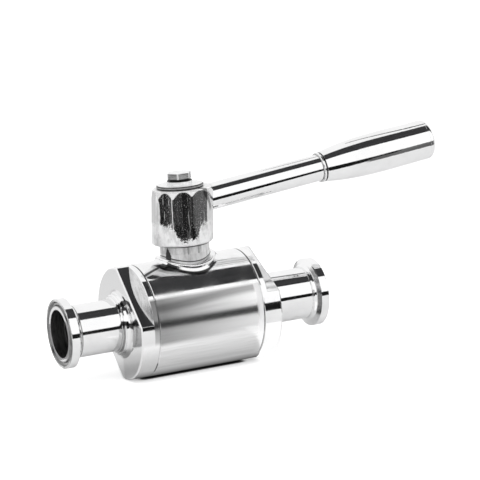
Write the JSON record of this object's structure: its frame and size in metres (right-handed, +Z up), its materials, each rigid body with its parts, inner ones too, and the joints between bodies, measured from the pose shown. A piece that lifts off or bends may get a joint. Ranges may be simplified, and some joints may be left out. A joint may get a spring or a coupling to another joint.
{
  "type": "tri-clamp ball valve",
  "caption": "Inline sanitary ball valve: turned drum body, clamp ferrule on each end, ball inside, and a straight rod lever with a tapered steel grip on a bolted hub.",
  "frame": {"origin": "centre of the ball, where the flow line crosses the stem line", "axes": "+X along the flow line towards the end the open handle points to, +Z up the stem"},
  "size_m": [0.3082, 0.082, 0.1572],
  "materials": {
    "satin_steel": "satin turned front on a polished drum",
    "polished_steel": "mirror polished stainless steel",
    "cast_steel": "polished casting with ground flats",
    "machined_steel": "plain machined stainless steel",
    "seat_plastic": "white fluoroplastic"
  },
  "bodies": {
    "valve": {"valve_body": "satin_steel", "stem_neck": "satin_steel", "end_cap_left": "polished_steel", "end_cap_right": "polished_steel", "stub_tube_left": "polished_steel", "stub_tube_right": "polished_steel", "ferrule_left": "polished_steel", "ferrule_right": "polished_steel", "ball_seat_left": "seat_plastic", "ball_seat_right": "seat_plastic", "body_seal_left": "seat_plastic", "body_seal_right": "seat_plastic", "thrust_washer": "seat_plastic", "packing_ring_lower": "seat_plastic", "packing_ring_middle": "seat_plastic", "packing_ring_upper": "seat_plastic", "gland_follower": "machined_steel", "gland_nut": "machined_steel", "stop_pin": "machined_steel"},
    "ball": {"ball": "polished_steel"},
    "handle": {"stem": "machined_steel", "handle_hub": "cast_steel", "handle_rod": "polished_steel", "grip_ring": "polished_steel", "handle_grip": "polished_steel", "grip_end_cap": "polished_steel", "plate_washer": "machined_steel", "spring_washer": "machined_steel", "hub_bolt": "machined_steel"}
  },
  "joints": [
    {"name": "handle_turn", "type": "hinge", "parent": "valve", "child": "handle", "pos_m": [0, 0, 0], "axis": [0, 0, -1], "range_deg": [0, 90]},
    {"name": "ball_turn", "type": "hinge", "parent": "valve", "child": "ball", "pos_m": [0, 0, 0], "axis": [0, 0, -1], "range_deg": [0, 90]}
  ],
  "couplings": [
    {"joint": "ball_turn", "follows": "handle_turn", "ratio": 1}
  ]
}
